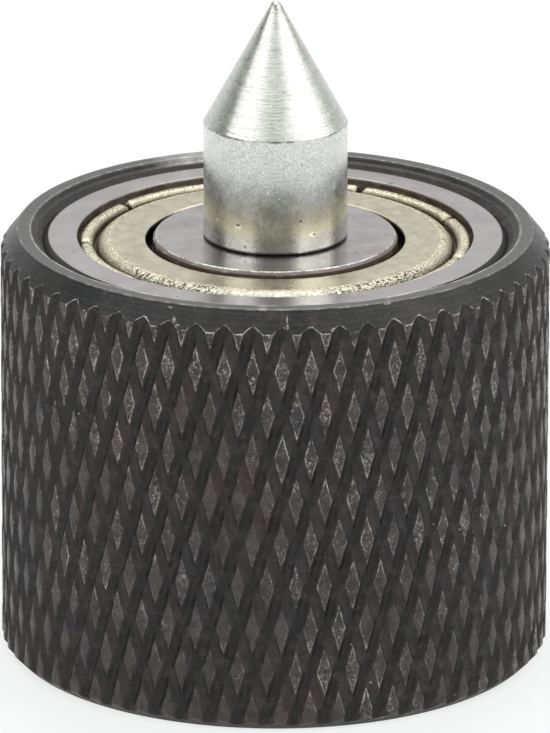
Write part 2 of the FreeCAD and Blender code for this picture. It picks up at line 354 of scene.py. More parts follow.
    # a few single scuffs on the front chamfer, down to bright steel
    rag = k.math("MULTIPLY", k.noise(scale=5.0, detail=4, rough=0.75), 1.5)
    scuff = 0.0
    for x0, z0, rx, rz in ((-4.68, 19.99, 0.1, 0.16), (-4.54, 19.78, 0.12, 0.06), (0.56, 20.2, 0.05, 0.2), (0.58, 19.93, 0.08, 0.14), (5.24, 20.55, 0.24, 0.06), (-4.86, 20.42, 0.16, 0.05), (-0.56, 20.58, 0.3, 0.04), (2.68, 19.75, 0.14, 0.12)):
        dx = k.math("DIVIDE", k.math("SUBTRACT", k.x, x0), rx)
        dz = k.math("DIVIDE", k.math("SUBTRACT", k.z, z0), rz)
        d = k.math("ADD", k.math("SQRT", k.math("ADD", k.math("MULTIPLY", dx, dx), k.math("MULTIPLY", dz, dz))), rag)
        scuff = k.math("MAXIMUM", scuff, k.ramp(d, 1.75, 1.15))
    scuff = k.math("MULTIPLY", k.math("MULTIPLY", scuff, turned), k.ramp(k.y, 0.0, -0.5, 0, 0.75))
    scratch = k.math("MAXIMUM", scratch, scuff)
    # dust specks
    speck = k.math("MULTIPLY", k.ramp(k.voronoi(scale=1.15), 0.085, 0.045), k.ramp(k.noise(scale=1.3, detail=2), 0.60, 0.66))
    # bright steel where the edges are worn
    breakup = k.ramp(k.noise(scale=1.9, detail=6, rough=0.75), 0.43, 0.62)
    dots = k.ramp(k.noise(scale=8.0, detail=3, rough=0.8), 0.38, 0.62, 0.25, 1.25)
    edge = k.math("MULTIPLY", k.math("MULTIPLY", k.ramp(wear, 0.12, 0.85), dots), k.math("MULTIPLY", breakup, area), clamp=True)
    bright = k.math("MAXIMUM", edge, k.math("MAXIMUM", k.math("MULTIPLY", k.math("MULTIPLY", scratch, dots), 0.70), k.math("MULTIPLY", speck, 0.8)))
    base = k.mix(bright, base, (0.60, 0.57, 0.53))
    rough = k.math("ADD", k.ramp(fine, 0.3, 0.7, 0.40, 0.58), k.math("ADD", k.math("MULTIPLY", turned, -0.13), k.math("MULTIPLY", flat, -0.09)))
    grit = k.noise(scale=14.0, detail=4, rough=0.7)
    pits = k.noise(scale=4.5, detail=5, rough=0.65)
    nrm = k.bump(lines, 0.35, 0.008)
    lumps = k.noise(scale=1.7, detail=3, rough=0.6)
    nrm = k.bump(k.math("MULTIPLY", lumps, k.math("SUBTRACT", 1.0, turned)), 0.6, 0.16, nrm)
    nrm = k.bump(pits, 0.55, 0.035, nrm)
    nrm = k.bump(grit, 0.45, 0.012, nrm)
    metal = k.math("MAXIMUM", k.math("MULTIPLY", bright, 0.8), k.math("MULTIPLY", turned, 0.5))
    return k.finish(base, rough, metal, nrm, 1.45)


def point_steel():
    k = Mat("point_steel")
    cone = k.ramp(k.z, 25.84, 25.94)
    body = k.math("SUBTRACT", 1.0, cone)
    w = k.math("ADD", k.math("MULTIPLY", k.r, 0.6), k.z)
    lines = k.noise(dims="1D", w=w, scale=7.0, detail=5, rough=0.8)
    streak = k.noise(vec=k.scaled(0.8, 0.8, 10.0), scale=1.0, detail=5, rough=0.75)
    mott = k.noise(scale=1.6, detail=5, rough=0.68)
    grain = k.noise(scale=10.0, detail=2, rough=0.9)
    base = k.mix(k.ramp(mott, 0.36, 0.64), (0.58, 0.60, 0.585), (0.78, 0.79, 0.76))
    base = k.mix(k.math("MULTIPLY", cone, 0.6), base, (0.70, 0.715, 0.655))
    base = k.mix(k.math("MULTIPLY", body, k.ramp(grain, 0.50, 0.70, 0, 0.42)), base, (0.30, 0.315, 0.30))
    base = k.mix(k.math("MULTIPLY", body, k.ramp(grain, 0.50, 0.34, 0, 0.65)), base, (0.99, 0.99, 0.98))
    # the lower end is yellower, with a dull band above it
    cloud = k.math("ADD", k.z, k.math("MULTIPLY", k.noise(scale=0.7, detail=3), 1.8))
    low = k.math("MULTIPLY", k.ramp(cloud, 21.0, 21.8), k.ramp(cloud, 24.2, 22.9))
    base = k.mix(k.math("MULTIPLY", low, 0.5), base, (0.50, 0.52, 0.41))
    band = k.math("MULTIPLY", k.ramp(cloud, 22.7, 23.7), k.ramp(cloud, 24.9, 23.9))
    base = k.mix(k.math("MULTIPLY", band, 0.35), base, (0.38, 0.40, 0.39))
    # painted shade: the foot of the point, just above the bearing face, darkened almost to black as the gap under it
    base = k.mix(k.math("MULTIPLY", k.ramp(k.z, 20.47, 20.37), 0.9), base, (0.03, 0.03, 0.028))
    # dark turned rings on the cone, a rough seam where it starts, a bruised tip
    base = k.mix(k.math("MULTIPLY", cone, k.ramp(streak, 0.50, 0.66, 0, 0.6)), base, (0.42, 0.44, 0.37))
    seam = k.math("MULTIPLY", k.ramp(k.math("ABSOLUTE", k.math("SUBTRACT", k.z, 25.87)), 0.075, 0.025),
                  k.ramp(k.noise(scale=1.1, detail=5, rough=0.7), 0.47, 0.56))
    base = k.mix(k.math("MULTIPLY", seam, 0.7), base, (0.13, 0.13, 0.11))
    bruise = k.math("MULTIPLY", k.ramp(k.z, 31.1, 31.7), k.ramp(k.noise(scale=5.0, detail=3), 0.46, 0.58))
    base = k.mix(k.math("MULTIPLY", bruise, 0.8), base, (0.16, 0.16, 0.14))
    nick = k.math("MULTIPLY", k.ramp(k.voronoi(scale=0.9), 0.085, 0.050), k.ramp(k.noise(scale=0.9), 0.50, 0.54))
    base = k.mix(k.math("MULTIPLY", nick, 0.8), base, (0.10, 0.10, 0.085))
    # a few single dents low on the body, where work has touched it, shown only as painted highlights and painted shade
    rag = k.math("MULTIPLY", k.noise(scale=4.0, detail=4, rough=0.7), 0.9)
    for x0, z0, rx, rz, light in ((-2.76, 21.65, 0.16, 0.09, 1), (-1.73, 21.55, 0.2, 0.14, 1), (-1.75, 21.65, 0.13, 0.08, 0), (-0.36, 23.4, 0.06, 0.2, 1), (1.79, 21.2, 0.26, 0.16, 1), (1.84, 21.2, 0.12, 0.07, 0), (1.19, 21.95, 0.07, 0.08, 0), (0.17, 23.1, 0.07, 0.07, 1)):
        dx = k.math("DIVIDE", k.math("SUBTRACT", k.x, x0), rx)
        dz = k.math("DIVIDE", k.math("SUBTRACT", k.z, z0), rz)
        d = k.math("ADD", k.math("SQRT", k.math("ADD", k.math("MULTIPLY", dx, dx), k.math("MULTIPLY", dz, dz))), rag)
        dent_glint_shade = k.math("MULTIPLY", k.ramp(d, 1.30, 0.95), k.ramp(k.y, 0.0, -0.5))
        base = k.mix(k.math("MULTIPLY", dent_glint_shade, 0.9), base, (0.98, 0.98, 0.95) if light else (0.045, 0.045, 0.035))
    ridge = k.math("ABSOLUTE", k.math("SUBTRACT", k.noise(scale=0.55, detail=2, dist=0.8), 0.5))
    hair = k.math("MULTIPLY", k.ramp(ridge, 0.005, 0.0015), k.ramp(k.noise(scale=0.5, detail=2), 0.52, 0.57))
    base = k.mix(k.math("MULTIPLY", hair, 0.5), base, (0.97, 0.97, 0.95))
    rough = k.ramp(mott, 0.35, 0.68, 0.17, 0.33)
    nrm = k.bump(k.math("MULTIPLY", lines, k.ramp(cone, 0, 1, 0.2, 1.0)), 0.7, 0.012)
    nrm = k.bump(k.math("MULTIPLY", streak, cone), 0.9, 0.030, nrm)
    nrm = k.bump(k.math("MULTIPLY", grain, k.ramp(cone, 0, 1, 1, 0.3)), 0.6, 0.007, nrm)
    return k.finish(base, rough, 1.0, nrm)


def ring_steel():
    k = Mat("bearing_steel")
    lines = k.noise(dims="1D", w=k.math("ADD", k.r, k.math("MULTIPLY", k.z, 1.1)), scale=16.0, detail=5, rough=0.8)
    mott = k.noise(scale=0.6, detail=5, rough=0.6)
    grain = k.noise(scale=16.0, detail=3, rough=0.6)
    base = k.mix(k.ramp(mott, 0.35, 0.68), (0.460, 0.436, 0.428), (0.560, 0.535, 0.522))
    base = k.mix(k.ramp(lines, 0.60, 0.8, 0, 0.30), base, (0.28, 0.26, 0.25))
    inner = k.ramp(k.r, 6.0, 5.9)
    tint = k.ramp(k.noise(scale=0.9, detail=4, rough=0.65), 0.42, 0.60)
    base = k.mix(k.math("MULTIPLY", inner, k.math("MULTIPLY", tint, 0.5)), base, (0.36, 0.31, 0.32))
    ridge = k.math("ABSOLUTE", k.math("SUBTRACT", k.noise(scale=0.42, detail=2, dist=0.6), 0.5))
    scr = k.math("MULTIPLY", k.ramp(ridge, 0.006, 0.002), k.ramp(k.noise(scale=0.45, detail=2, w=None), 0.55, 0.60))
    pit = k.math("MULTIPLY", k.ramp(k.voronoi(vec=k.scaled(0.9, 1.5, 1.5), scale=1.0), 0.110, 0.070), k.ramp(k.noise(scale=0.5), 0.53, 0.57))
    base = k.mix(k.math("MULTIPLY", k.math("MAXIMUM", scr, pit), 0.75), base, (0.09, 0.055, 0.045))
    # the unground corner at the outside, painted near black as the shade in the groove against the recess, and the
    # walls above the lands and in the recess, painted brown as a reflection of the shield
    # painted shade on the outer corner; it is also dull, as an unground face
    corner = k.ramp(k.r, 10.70, 10.745)
    base = k.mix(corner, base, (0.007, 0.0065, 0.006))
    down = k.ramp(k.math("ABSOLUTE", k.math("SUBTRACT", k.z, ZC)), 3.485, 3.44)
    land = k.math("MULTIPLY", k.math("MULTIPLY", k.ramp(k.r, 5.655, 5.685), k.ramp(k.r, 5.9, 5.85)), k.ramp(k.math("ABSOLUTE", k.math("SUBTRACT", k.z, ZC)), 3.495, 3.475))
    # painted reflection: the top of the recess wall is coloured brown like the shield below it
    wall = k.math("MULTIPLY", k.math("MULTIPLY", k.ramp(k.r, 9.2, 9.3), k.ramp(k.r, 9.75, 9.70)), down)
    wall_reflection_mottle = k.noise(scale=1.4, detail=4, rough=0.7)
    base = k.mix(wall, base, k.mix(k.ramp(wall_reflection_mottle, 0.35, 0.65), (0.150, 0.122, 0.105), (0.34, 0.295, 0.25)))
    # painted reflection and shade: the land walls are brown like the shield, darker further down
    wall_shade_depth = k.ramp(k.math("ABSOLUTE", k.math("SUBTRACT", k.z, ZC)), 3.46, 3.22)
    base = k.mix(land, base, k.mix(wall_shade_depth, (0.21, 0.180, 0.160), (0.120, 0.088, 0.072)))
    # painted highlight: a broken white line along the inner ring's outer corner
    lip_highlight = k.math("MULTIPLY", k.math("MULTIPLY", k.ramp(k.r, 5.615, 5.635), k.ramp(k.r, 5.700, 5.675)), k.ramp(k.math("ABSOLUTE", k.math("SUBTRACT", k.z, ZC)), 3.44, 3.475))
    lip_highlight = k.math("MULTIPLY", lip_highlight, k.ramp(k.noise(scale=1.5, detail=5, rough=0.75), 0.46, 0.58, 0.0, 0.95))
    base = k.mix(lip_highlight, base, (0.97, 0.95, 0.93))
    # lighter streaks on the land walls
    pale_streaks = k.math("MULTIPLY", land, k.ramp(k.noise(vec=k.scaled(0.8, 0.8, 5.0), scale=1.0, detail=4, rough=0.7), 0.56, 0.66))
    base = k.mix(k.math("MULTIPLY", pale_streaks, 0.7), base, (0.62, 0.58, 0.52))
    wall = k.math("MAXIMUM", wall, land)
    dull = k.math("MAXIMUM", corner, wall)
    rough = k.math("MAXIMUM", k.ramp(grain, 0.3, 0.7, 0.16, 0.26), k.math("MULTIPLY", dull, 0.42))
    nrm = k.bump(lines, 0.35, 0.006)
    nrm = k.bump(grain, 0.35, 0.006, nrm)
    return k.finish(base, rough, k.math("SUBTRACT", k.ramp(dull, 0, 1, 1.0, 0.45), k.math("MULTIPLY", corner, 0.4)), nrm)


def shield_steel():
    k = Mat("shield_steel")
    up = k.math("ABSOLUTE", k.math("SUBTRACT", k.z, ZC))
    mott = k.noise(scale=1.3, detail=6, rough=0.72)
    orange = k.noise(scale=3.6, detail=4, rough=0.6)
    grain = k.noise(scale=12.0, detail=4, rough=0.7)
    base = k.mix(k.ramp(mott, 0.36, 0.64), (0.525, 0.482, 0.342), (0.675, 0.636, 0.487))
    base = k.mix(k.ramp(k.noise(scale=2.6, detail=5, rough=0.85), 0.53, 0.68, 0, 0.55), base, (0.36, 0.34, 0.25))
    specks = k.math("MULTIPLY", k.ramp(k.voronoi(scale=1.3), 0.10, 0.06), k.ramp(k.noise(scale=0.5), 0.50, 0.56))
    base = k.mix(k.math("MULTIPLY", specks, 0.8), base, (0.12, 0.095, 0.06))
    # painted shade in the trough between the flat and the bead, darker deeper down, and on the bead's flanks
    trough = k.math("MULTIPLY", k.ramp(k.r, 7.92, 8.05), k.ramp(k.r, 8.70, 8.62))
    trough_shade = k.math("MULTIPLY", trough, k.ramp(up, 3.27, 3.00))
    spot = k.noise(scale=5.0, detail=4, rough=0.8)
    trough_shade = k.math("MULTIPLY", trough_shade, k.ramp(spot, 0.30, 0.52, 0.60, 1.0), clamp=True)
    base = k.mix(trough_shade, base, (0.060, 0.042, 0.014))
    flank_shade = k.math("MULTIPLY", k.ramp(k.r, 8.60, 8.66), k.ramp(up, 3.22, 3.02))
    base = k.mix(k.math("MULTIPLY", flank_shade, k.ramp(spot, 0.40, 0.60, 0.25, 0.9)), base, (0.20, 0.165, 0.105))
    bead = k.math("MULTIPLY", k.ramp(k.r, 8.58, 8.66), k.ramp(up, 3.0, 3.15))
    base = k.mix(k.math("MULTIPLY", bead, k.ramp(spot, 0.52, 0.64, 0, 0.45)), base, (0.33, 0.30, 0.22))
    rough = k.math("ADD", k.ramp(mott, 0.3, 0.7, 0.22, 0.36), k.math("MULTIPLY", trough_shade, 0.25))
    # the rolled edge of the flat is pitted by the die; at the front it also gets a painted highlight band with painted
    # dark pits
    rolled = k.math("MULTIPLY", k.ramp(k.r, 7.74, 7.92), k.ramp(k.r, 8.66, 8.60))
    coarse = k.noise(scale=6.0, detail=2, rough=0.8)
    side = k.math("ABSOLUTE", k.x)
    rr = k.math("ADD", k.r, k.math("MULTIPLY", k.math("SUBTRACT", k.noise(scale=1.6, detail=4, rough=0.7), 0.5), 0.55))
    front_glint_zone = k.math("MULTIPLY", k.math("MULTIPLY", k.ramp(rr, 7.78, 8.04), k.ramp(k.r, 8.42, 8.24)), k.ramp(k.y, -3.2, -5.0))
    front_pit_shade = k.math("MULTIPLY", front_glint_zone, k.math("MULTIPLY", k.ramp(side, 1.9, 3.0), k.ramp(side, 7.4, 6.6)))
    grit = k.noise(scale=7.0, detail=2, rough=0.75)
    # painted highlight and sparkle: bright gold on the rolled edge at the front, brightest in the middle
    base = k.mix(k.math("MULTIPLY", front_glint_zone, k.math("ADD", k.math("MULTIPLY", k.ramp(grit, 0.50, 0.58), 0.40), k.ramp(side, 5.0, 1.5, 0.06, 0.36))), base, (1.0, 0.97, 0.84))
    # painted shade: dark pits in that band, either side of the middle
    base = k.mix(k.math("MULTIPLY", front_pit_shade, k.ramp(grit, 0.47, 0.42, 0, 1.0)), base, (0.022, 0.017, 0.009))
    nrm = k.bump(orange, 0.5, 0.012)
    nrm = k.bump(k.math("MULTIPLY", k.math("SUBTRACT", coarse, 0.5), k.math("MAXIMUM", rolled, k.math("MULTIPLY", bead, 0.50))), 1.0, 0.15, nrm)
    nrm = k.bump(grain, 0.5, 0.006, nrm)
    return k.finish(base, rough, k.ramp(trough_shade, 0, 1, 1.0, 0.6), nrm)


def plain_steel(name, lo, hi, r0, r1, scale=1.5):
    k = Mat(name)
    mott = k.noise(scale=scale, detail=5, rough=0.65)
    grain = k.noise(scale=12.0, detail=3, rough=0.6)
    nrm = k.bump(grain, 0.4, 0.006)
    return k.finish(k.mix(k.ramp(mott, 0.35, 0.66), lo, hi), k.ramp(mott, 0.3, 0.7, r0, r1), 1.0, nrm)


def floor_paint():
    k = Mat("pale_floor")
    mott = k.noise(scale=0.02, detail=2)
    base = k.mix(k.ramp(mott, 0.3, 0.7), (0.200, 0.203, 0.202), (0.208, 0.211, 0.210))
    k.b.inputs["Emission Color"].default_value = (0.99, 1.0, 0.995, 1)
    k.b.inputs["Emission Strength"].default_value = 0.735
    return k.finish(base, 0.9, 0.0, None, None, 0.1)


M_BLACK = black_oxide()
M_POINT = point_steel()
M_RING = ring_steel()
M_SHIELD = shield_steel()
M_BALL = plain_steel("ball_steel", (0.72, 0.72, 0.72), (0.80, 0.80, 0.80), 0.06, 0.12)
M_CAGE = plain_steel("cage_steel", (0.44, 0.43, 0.41), (0.58, 0.57, 0.54), 0.28, 0.42)
M_CLIP = plain_steel("clip_steel", (0.075, 0.073, 0.072), (0.14, 0.135, 0.13), 0.32, 0.48)


# ------------------------------------------------------------------ the barrel
def chamfer_top(z):
    return R_CREST - (z - (H - RIM_CH)) * (R_CREST - RIM_OUT) / RIM_CH


def chamfer_low(z):
    return R_CREST - (REAR_CHAMFER - z)


HALF = [0.0, 0.10, 0.176, 0.206, 0.236, 0.280, 0.355, 0.430, 0.5]
DEPTH = {0.0: 0.0, 0.10: 0.0, 0.176: 0.008, 0.206: 0.075, 0.236: 0.24, 0.280: 0.48, 0.355: 0.78, 0.430: 0.95, 0.5: 1.0}
WEAR = {0.176: 0.0, 0.206: 1.0, 0.236: 0.14}


def knurl_sheet():
    """The knurl in the flat: x = angle in degrees, y = height, z = radius; cut and clamped by the chamfers."""
    pos = HALF + [1 - t for t in reversed(HALF[1:-1])]
    m = len(pos)
    key = [t if t <= 0.5 else round(1 - t, 6) for t in pos]
    key = [min(HALF, key=lambda h: abs(h - t)) for t in key]
    sign = [1 if t <= 0.5 else -1 for t in pos]
    index, co, wear, flat, groove_shade = {}, [], [], [], []

    def vert(A, B):
        if (A, B) in index:
            return index[(A, B)]
        i, mi = divmod(A, m)
        j, mj = divmod(B, m)
        ta, tb = key[mi] * sign[mi], key[mj] * sign[mj]
        ca = i if sign[mi] > 0 else i + 1
        cb = j if sign[mj] > 0 else j + 1
        # each diamond is a little larger or smaller than the next
        h = math.sin(((ca % KNURL_N) * 12.9898 + (cb - ca) * 78.233 + (cb % 2) * 3.1)) * 43758.5453
        h = h - math.floor(h)
        grow = 1 + 0.24 * (h - 0.45)
        fa = 1 - (2 * abs(tb)) ** 4
        fb = 1 - (2 * abs(ta)) ** 4
        wa = math.sin(TAU * abs(ta)) * 0.12 * (grow - 1) * 3 * fa
        wb = math.sin(TAU * abs(tb)) * 0.12 * (grow - 1) * 3 * fb
        a = ca + ta + math.copysign(wa, ta) * (ta != 0)
        b = cb + tb + math.copysign(wb, tb) * (tb != 0)
        u, v = (a + b) / 2, (a - b) / 2
        if ta * tb < 0:          # the flats run out into longer points above and below
            v += math.copysign(0.024, ta) * math.sin(TAU * abs(ta)) * math.sin(TAU * abs(tb))
        th = u * 360 / KNURL_N + KNURL_TH
        z = KNURL_ROW + v * KNURL_V
        X, Y, Z = polar(R_CREST, math.radians(th), z)
        th += 0.16 * n3(X, Y, Z, 0.35, 11.0)
        z += 0.05 * n3(X, Y, Z, 0.4, 23.0)
        da, db = 0.84 * DEPTH[key[mi]], DEPTH[key[mj]]
        d = max(da, db)
        D = KNURL_D * (1 + 0.09 * n3(X, Y, Z, 0.3, 5.0))
        r = R_CREST - D * d
        edge = max(WEAR.get(key[mi], 0) if abs(tb) <= 0.21 else 0, WEAR.get(key[mj], 0) if abs(ta) <= 0.21 else 0)
        if edge > 0:
            th += 0.17 * n3(X, Y, Z, 2.7, 31.0)
            z += 0.07 * n3(X, Y, Z, 2.4, 37.0)
        nick = max(0.0, n3(X, Y, Z, 2.3, 41.0) - 0.05)
        r -= 0.060 * nick * (edge > 0.5) + 0.006 * (1 + n3(X, Y, Z, 4.0, 3.0))
        r -= 0.010 * max(0.0, n3(X, Y, Z, 0.9, 67.0)) * (d < 0.05)
        index[(A, B)] = len(co)
        co.append((th, z, min(r, R_CREST)))
        wear.append(edge)
        flat.append(1.0 if d < 0.05 else max(0.0, 1 - (d - 0.05) * 5))
        # weight of the painted shade in the grooves: full along b, faint along a
        groove_shade.append(min(1.0, max(0.0, (db - 0.25) / 0.45) + 0.12 * max(0.0, (da - 0.25) / 0.45)))
        return index[(A, B)]

    faces = []
    for k in range(-10, 2):
        for i in range(KNURL_N):
            j = i - k
            for p in range(m):
                for q in range(m):
                    A, B = i * m + p, j * m + q
                    c = [vert(A, B), vert(A + 1, B), vert(A + 1, B + 1), vert(A, B + 1)]
                    if p == q:
                        faces += [(c[0], c[1], c[2]), (c[0], c[2], c[3])]
                    elif p + q == m - 1:
                        faces += [(c[0], c[1], c[3]), (c[1], c[2], c[3])]
                    else:
                        faces.append(tuple(c))
    me = bpy.data.meshes.new("knurl_flat")
    me.from_pydata(co, [], faces)
    for name, vals in (("wear", wear), ("flat", flat), ("groove_shade", groove_shade)):
        me.attributes.new(name, "FLOAT", "POINT").data.foreach_set("value", vals)
    bm = bmesh.new()
    bm.from_mesh(me)
    bpy.data.meshes.remove(me)
    lw, lf = bm.verts.layers.float["wear"], bm.verts.layers.float["flat"]

    def cut(co_, no, **kw):
        bmesh.ops.bisect_plane(bm, geom=bm.verts[:] + bm.edges[:] + bm.faces[:], dist=1e-7, plane_co=co_, plane_no=no, **kw)

    cut((0, 0.10, 0), (0, 1, 0), clear_inner=True)
    cut((0, 20.36, 0), (0, 1, 0), clear_outer=True)
    for fn, band in ((chamfer_top, 0.045), (chamfer_low, 0.03)):
        for v in bm.verts:
            v.co.z -= fn(v.co.y)
        for g in (0.0, -band, 0.045):
            cut((0, 0, g), (0, 0, 1))
        for v in bm.verts:
            g = v.co.z
            if g >= -1e-6:
                v[lf] = 0.0
                v[lw] = 0.0 if g > 1e-6 else 1.0
                v.co.z = 0.0
            elif g > -band + 1e-6:
                v[lw] = max(v[lw], 1 + g / band)
        for v in bm.verts:
            v.co.z += fn(v.co.y)
    for v in bm.verts:
        v.co = polar(v.co.z, math.radians(v.co.x), v.co.y)
    bmesh.ops.remove_doubles(bm, verts=bm.verts, dist=2e-5)
    return bm


def angle_of(v):
    t = math.atan2(v.co.x, -v.co.y)
    return t if t >= -1e-9 else t + TAU


def open_loop(bm, z):
    vs = {v for e in bm.edges if len(e.link_faces) == 1 for v in e.verts if abs(v.co.z - z) < 1e-4}
    return sorted(vs, key=angle_of)


def stitch(bm, A, B):
    a = [angle_of(v) for v in A]
    b = [angle_of(v) for v in B]
    n, m, i, j = len(A), len(B), 0, 0
    while i < n or j < m:
        na = a[(i + 1) % n] + (TAU if i + 1 >= n else 0) if i < n else 1e9
        nb = b[(j + 1) % m] + (TAU if j + 1 >= m else 0) if j < m else 1e9
        if na <= nb:
            t = (A[i % n], A[(i + 1) % n], B[j % m])
            i += 1
        else:
            t = (A[i % n], B[(j + 1) % m], B[j % m])
            j += 1
        bm.faces.new(t)


def ring(bm, r, z, segs, wear=0.0):
    lw = bm.verts.layers.float["wear"]
    out = []
    for k in range(segs):
        v = bm.verts.new(polar(r, TAU * k / segs, z))
        v[lw] = wear
        out.append(v)
    return out


def bridge(bm, A, B):
    n = len(A)
    for k in range(n):
        bm.faces.new((A[k], A[(k + 1) % n], B[(k + 1) % n], B[k]))


def thread_sheet(bm):
    """The internal thread, added to bm, from the mouth's countersink to the cavity."""
    half_c, half_r = 0.120, 0.060
    pos = [-half_c - 0.02, -half_c + 0.02, half_c - 0.02, half_c + 0.02, 0.5 - half_r - 0.015, 0.5 - half_r + 0.02, 0.5 + half_r - 0.02, 0.5 + half_r + 0.015]
    dep = [0.035, 0.0, 0.0, 0.035, 0.965, 1.0, 1.0, 0.965]
    segs, m = 120, len(pos)
    turns = range(-2, 13)
    tmp = bmesh.new()
    grid = []
    for s in range(segs + 1):
        col = []
        for t in turns:
            for k in range(m):
                z = PITCH * (t + pos[k] + s / segs)
                col.append(tmp.verts.new((360.0 * s / segs, z, MINOR_R + (MAJOR_R - MINOR_R) * dep[k])))
        grid.append(col)
    for s in range(segs):
        for q in range(len(grid[0]) - 1):
            tmp.faces.new((grid[s][q], grid[s + 1][q], grid[s + 1][q + 1], grid[s][q + 1]))

    def cut(co_, no, **kw):
        bmesh.ops.bisect_plane(tmp, geom=tmp.verts[:] + tmp.edges[:] + tmp.faces[:], dist=1e-7, plane_co=co_, plane_no=no, **kw)

    cut((0, 0.08, 0), (0, 1, 0), clear_inner=True)
    cut((0, 11.42, 0), (0, 1, 0), clear_outer=True)
    for fn in (lambda z: ENTRY_R - z, lambda z: ENTRY_R - (CAVITY_Z - z)):
        for v in tmp.verts:
            v.co.z -= fn(v.co.y)
        cut((0, 0, 0), (0, 0, 1))
        for v in tmp.verts:
            v.co.z = max(v.co.z, 0.0) + fn(v.co.y)
    for v in tmp.verts:
        v.co = polar(v.co.z, math.radians(v.co.x), v.co.y)
    bmesh.ops.remove_doubles(tmp, verts=tmp.verts, dist=2e-5)
    new = {}
    for v in tmp.verts:
        new[v] = bm.verts.new(v.co)
    for f in tmp.faces:
        bm.faces.new([new[v] for v in f.verts])
    low = sorted((new[v] for v in tmp.verts if abs(v.co.z - 0.08) < 1e-4), key=angle_of)
    top = sorted((new[v] for v in tmp.verts if abs(v.co.z - 11.42) < 1e-4), key=angle_of)
    tmp.free()
    return low, top


def make_barrel():
    bm = knurl_sheet()
    top, low = open_loop(bm, 20.36), open_loop(bm, 0.10)
    segs = 240
    # from the front chamfer, over the rim, into the mouth and down to the thread
    line = [(chamfer_top(20.44), 20.44, 0), (RIM_OUT, H, 0.075), (RIM_IN, H, 0.065), (SEAT_R, H - MOUTH_CH, 0.05),
            (SEAT_R, BRG_BACK, 0.05), (CAVITY_R, BRG_BACK, 0.06), (CAVITY_R, CAVITY_Z, 0.15), (ENTRY_R, CAVITY_Z, 0.04),
            (ENTRY_R - 0.06, CAVITY_Z - 0.06, 0)]
    tags = {}
    pts = rounded(line, 4, tags=tags)
    rings = []
    for i, (r, z) in enumerate(pts):
        w = {1: 0.42, 2: 0.52, 3: 0.30}.get(tags.get(i), 0.0)
        rings.append(ring(bm, r, z, segs, w))
    for a, b in zip(rings, rings[1:]):
        bridge(bm, a, b)
    stitch(bm, top, rings[0])
    t_low, t_top = thread_sheet(bm)
    stitch(bm, rings[-1], t_top)
    line = [(ENTRY_R - 0.05, 0.05, 0), (ENTRY_R, 0, 0.04), (R_CREST - REAR_CHAMFER, 0, 0.04),
            (R_CREST - REAR_CHAMFER + 0.07, 0.07, 0)]
    rings2 = [ring(bm, r, z, segs, 0.4 if math.hypot(r - 12.5, z) < 0.035 else 0.0) for r, z in rounded(line, 3)]
    for a, b in zip(rings2, rings2[1:]):
        bridge(bm, a, b)
    stitch(bm, t_low, rings2[0])
    stitch(bm, rings2[-1], low)
    bmesh.ops.recalc_face_normals(bm, faces=bm.faces)
    open_edges = sum(1 for e in bm.edges if len(e.link_faces) != 2)
    print("barrel verts %d faces %d open edges %d" % (len(bm.verts), len(bm.faces), open_edges))
    for v in bm.verts:
        v.co *= MM
    me = bpy.data.meshes.new("knurled_barrel")
    bm.to_mesh(me)
    bm.free()
    me.polygons.foreach_set("use_smooth", [True] * len(me.polygons))
    me.set_sharp_from_angle(angle=math.radians(24))
    me.materials.append(M_BLACK)
    ob = bpy.data.objects.new("knurled_barrel", me)
    bpy.context.scene.collection.objects.link(ob)
    return ob


barrel = make_barrel()
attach(barrel, "barrel_body")
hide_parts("barrel")

# ------------------------------------------------------------------ bearing rings
RACE_R = 2.064
BALL_R = 3.969 / 2
PITCH_R = 7.20


def race(cr, land, side, n=14):
    """Points of the raceway arc from low to high z; side +1 for the outer ring."""
    dz = math.sqrt(RACE_R ** 2 - (land - cr) ** 2)
    a = math.atan2(dz, side * (land - cr))
    return [(cr + side * RACE_R * math.cos(-a + 2 * a * i / n), ZC + RACE_R * math.sin(-a + 2 * a * i / n), 0) for i in range(n + 1)]


OL, IL = 8.62, 5.78
co_ = PITCH_R + BALL_R + 0.02 - RACE_R
ci_ = PITCH_R - BALL_R - 0.02 + RACE_R
hz = 3.5
outer_line = race(co_, OL, 1) + [
    (OL, ZC + hz - 0.98, 0.03), (9.66, ZC + hz - 0.98, 0.03), (9.66, ZC + hz - 0.22, 0.02), (9.37, ZC + hz - 0.12, 0.02),
    (9.37, ZC + hz - 0.04, 0.0), (9.41, ZC + hz, 0.03), (10.73, ZC + hz, 0.16), (11.0, ZC + hz - 0.27, 0.16),
    (11.0, ZC - hz + 0.27, 0.16), (10.73, ZC - hz, 0.16), (9.41, ZC - hz, 0.03), (9.37, ZC - hz + 0.04, 0.0),
    (9.37, ZC - hz + 0.12, 0.02), (9.66, ZC - hz + 0.22, 0.02), (9.66, ZC - hz + 0.98, 0.03), (OL, ZC - hz + 0.98, 0.03)]
outer = lathe("outer_ring_turned", rounded(outer_line, 3), 240, M_RING)
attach(outer, "barrel_body")
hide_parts("bearing_outer_ring")

inner_line = [(p[0], p[1], 0) for p in race(ci_, IL, -1)] + [
    (IL, ZC + hz - 0.15, 0.05), (IL - 0.13, ZC + hz, 0.035), (3.15, ZC + hz, 0.03), (3.0, ZC + hz - 0.15, 0.03),
    (3.0, ZC - hz + 0.15, 0.03), (3.15, ZC - hz, 0.03), (IL - 0.13, ZC - hz, 0.035), (IL, ZC - hz + 0.15, 0.05)]
inner = lathe("inner_ring_turned", rounded(inner_line, 3), 240, M_RING)
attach(inner, "spindle")
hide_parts("bearing_inner_ring")


